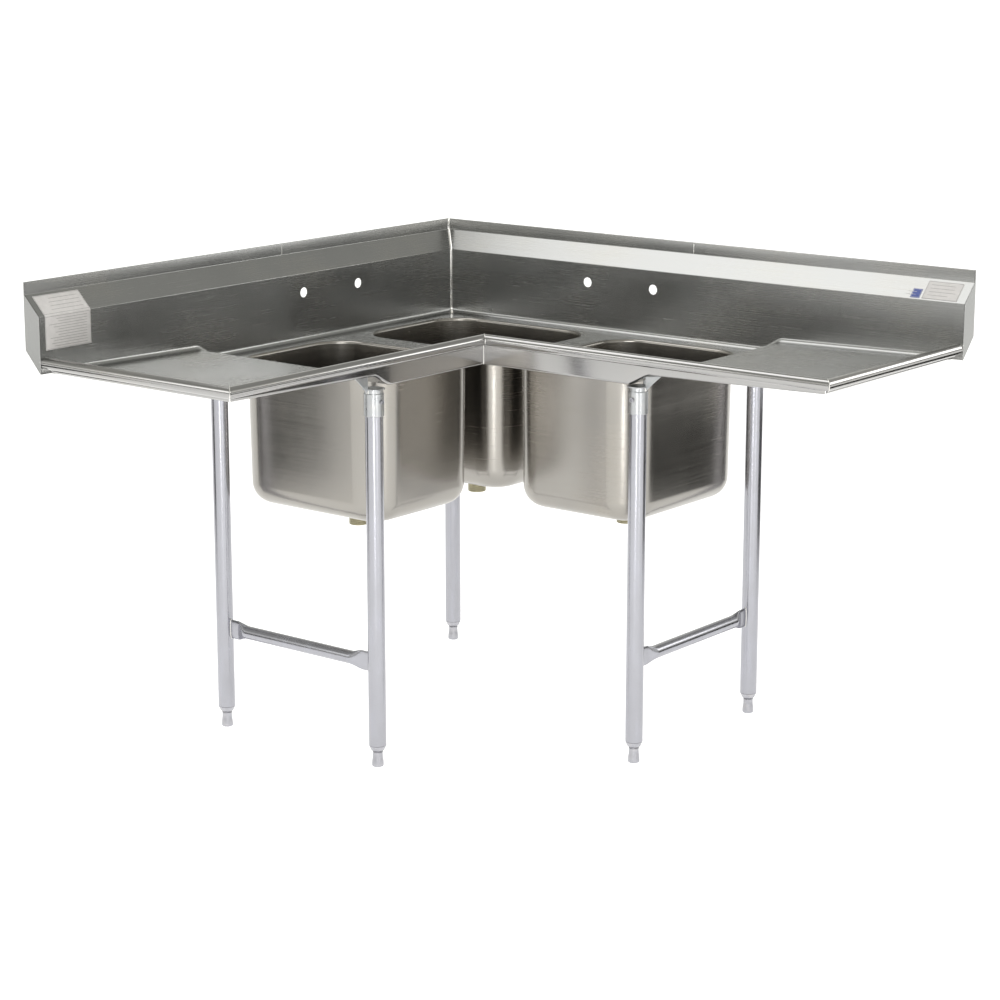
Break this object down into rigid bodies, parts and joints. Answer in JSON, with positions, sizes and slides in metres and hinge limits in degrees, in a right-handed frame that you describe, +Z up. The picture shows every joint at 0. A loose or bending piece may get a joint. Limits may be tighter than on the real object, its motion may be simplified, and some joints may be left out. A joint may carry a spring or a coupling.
{
  "type": "three compartment sink",
  "caption": "L-shaped stainless steel corner sink with deep bowls, a drainboard at each end, a tall splash with faucet holes, and tube legs with adjustable feet.",
  "frame": {"origin": "on the floor at the middle of the bounding box", "axes": "+X along the longer wing away from the wall corner, +Y towards that wing's wall, +Z up"},
  "size_m": [1.575, 1.492, 1.1415],
  "materials": {
    "stainless": "satin, brushed along each sheet",
    "bowl_steel": "satin, drawn and brushed",
    "galvanized": "satin zinc-coated tube",
    "foot_steel": "dull plated steel",
    "brass": "cast, satin",
    "black_rubber": "matte",
    "fibre": "matte pressed fibre",
    "label_foil": "satin foil, blank",
    "blue_foil": "gloss foil, blank"
  },
  "bodies": {
    "sink": {"splash_left": "stainless", "end_cap_left": "stainless", "drainboard_left": "stainless", "rim_front_left": "stainless", "rim_end_left": "stainless", "rail_left": "galvanized", "splash_right": "stainless", "end_cap_right": "stainless", "drainboard_right": "stainless", "rim_front_right": "stainless", "rim_end_right": "stainless", "rail_right": "galvanized", "bowl_deck": "stainless", "bowl_corner": "bowl_steel", "drain_body_corner": "brass", "drain_washer_corner": "black_rubber", "drain_friction_ring_corner": "fibre", "drain_locknut_corner": "brass", "bowl_left": "bowl_steel", "drain_body_left": "brass", "drain_washer_left": "black_rubber", "drain_friction_ring_left": "fibre", "drain_locknut_left": "brass", "bowl_right": "bowl_steel", "drain_body_right": "brass", "drain_washer_right": "black_rubber", "drain_friction_ring_right": "fibre", "drain_locknut_right": "brass", "leg_left_rear": "galvanized", "leg_plug_left_rear": "foot_steel", "gusset_left_rear": "stainless", "set_screw_left_rear": "foot_steel", "leg_left_front": "galvanized", "leg_plug_left_front": "foot_steel", "gusset_left_front": "stainless", "set_screw_left_front": "foot_steel", "leg_corner": "galvanized", "leg_plug_corner": "foot_steel", "gusset_corner": "stainless", "set_screw_corner": "foot_steel", "leg_right_front": "galvanized", "leg_plug_right_front": "foot_steel", "gusset_right_front": "stainless", "set_screw_right_front": "foot_steel", "leg_right_rear": "galvanized", "leg_plug_right_rear": "foot_steel", "gusset_right_rear": "stainless", "set_screw_right_rear": "foot_steel", "label_left": "label_foil", "label_right": "label_foil", "sticker_right": "blue_foil"},
    "strainer_corner": {"strainer_corner": "stainless"},
    "strainer_left": {"strainer_left": "stainless"},
    "strainer_right": {"strainer_right": "stainless"},
    "foot_left_rear": {"foot_left_rear": "foot_steel"},
    "foot_left_front": {"foot_left_front": "foot_steel"},
    "foot_corner": {"foot_corner": "foot_steel"},
    "foot_right_front": {"foot_right_front": "foot_steel"},
    "foot_right_rear": {"foot_right_rear": "foot_steel"}
  },
  "joints": [
    {"name": "foot_left_rear_screw", "type": "slide", "parent": "sink", "child": "foot_left_rear", "axis": [0, 0, 1], "range_m": [-0.025, 0.02]},
    {"name": "foot_left_front_screw", "type": "slide", "parent": "sink", "child": "foot_left_front", "axis": [0, 0, 1], "range_m": [-0.025, 0.02]},
    {"name": "foot_corner_screw", "type": "slide", "parent": "sink", "child": "foot_corner", "axis": [0, 0, 1], "range_m": [-0.025, 0.02]},
    {"name": "foot_right_front_screw", "type": "slide", "parent": "sink", "child": "foot_right_front", "axis": [0, 0, 1], "range_m": [-0.025, 0.02]},
    {"name": "foot_right_rear_screw", "type": "slide", "parent": "sink", "child": "foot_right_rear", "axis": [0, 0, 1], "range_m": [-0.025, 0.02]},
    {"name": "strainer_corner_lift", "type": "slide", "parent": "sink", "child": "strainer_corner", "axis": [0, 0, 1], "range_m": [0, 0.4]},
    {"name": "strainer_left_lift", "type": "slide", "parent": "sink", "child": "strainer_left", "axis": [0, 0, 1], "range_m": [0, 0.4]},
    {"name": "strainer_right_lift", "type": "slide", "parent": "sink", "child": "strainer_right", "axis": [0, 0, 1], "range_m": [0, 0.4]}
  ]
}
